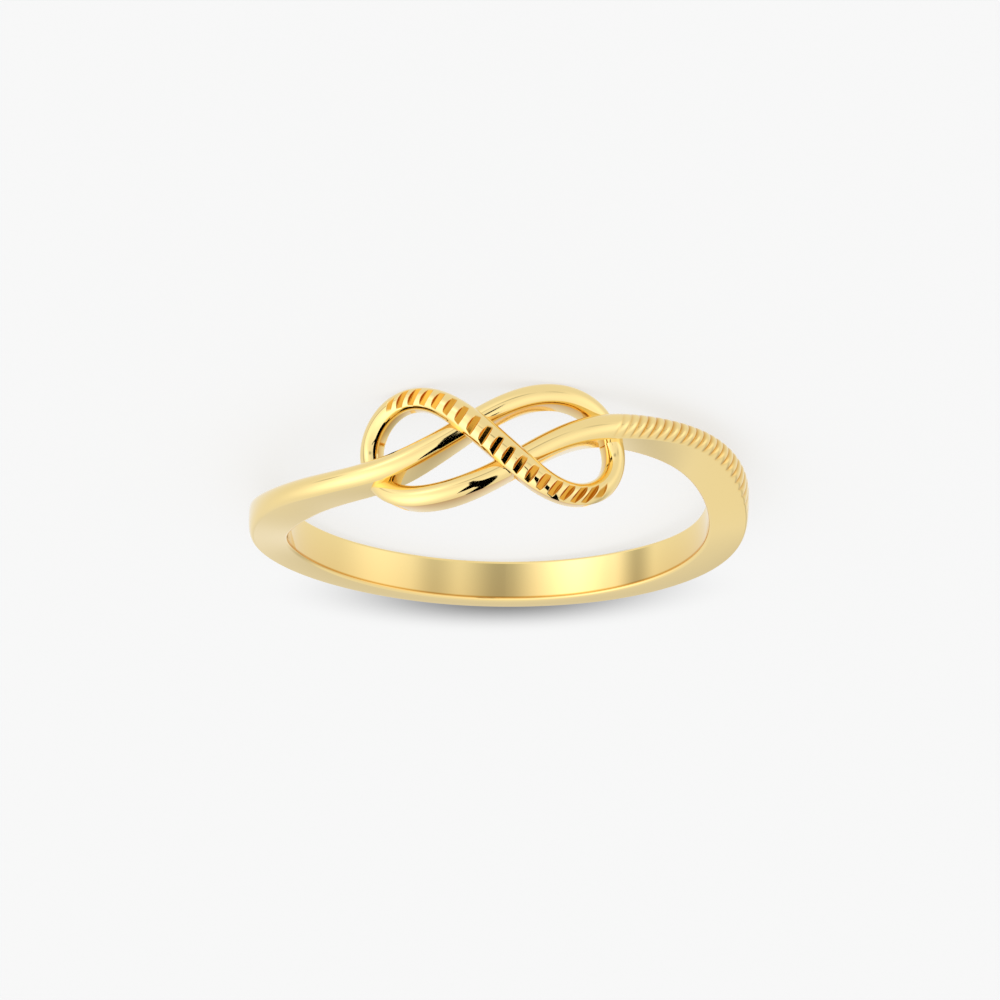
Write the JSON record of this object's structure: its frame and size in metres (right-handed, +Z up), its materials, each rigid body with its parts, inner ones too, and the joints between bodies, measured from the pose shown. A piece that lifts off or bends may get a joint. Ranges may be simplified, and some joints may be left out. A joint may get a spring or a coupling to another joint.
{
  "type": "infinity ring",
  "caption": "Slim finger ring of one cast strand that winds into an open sideways knot at the front, with a grooved top strand and a ribbed shoulder.",
  "frame": {"origin": "middle of the ring's box, on the surface that it lies on", "axes": "+Z up from the surface, -Y from the ring's middle to the knot, +X to the plain shoulder; the finger hole's axis is tilted about 5 degrees from +Z because the knot is wider than the band"},
  "size_m": [0.0208, 0.0206, 0.0051],
  "materials": {
    "gold": "mirror polished yellow gold"
  },
  "bodies": {
    "root": {"knotted_band": "gold"}
  },
  "joints": []
}
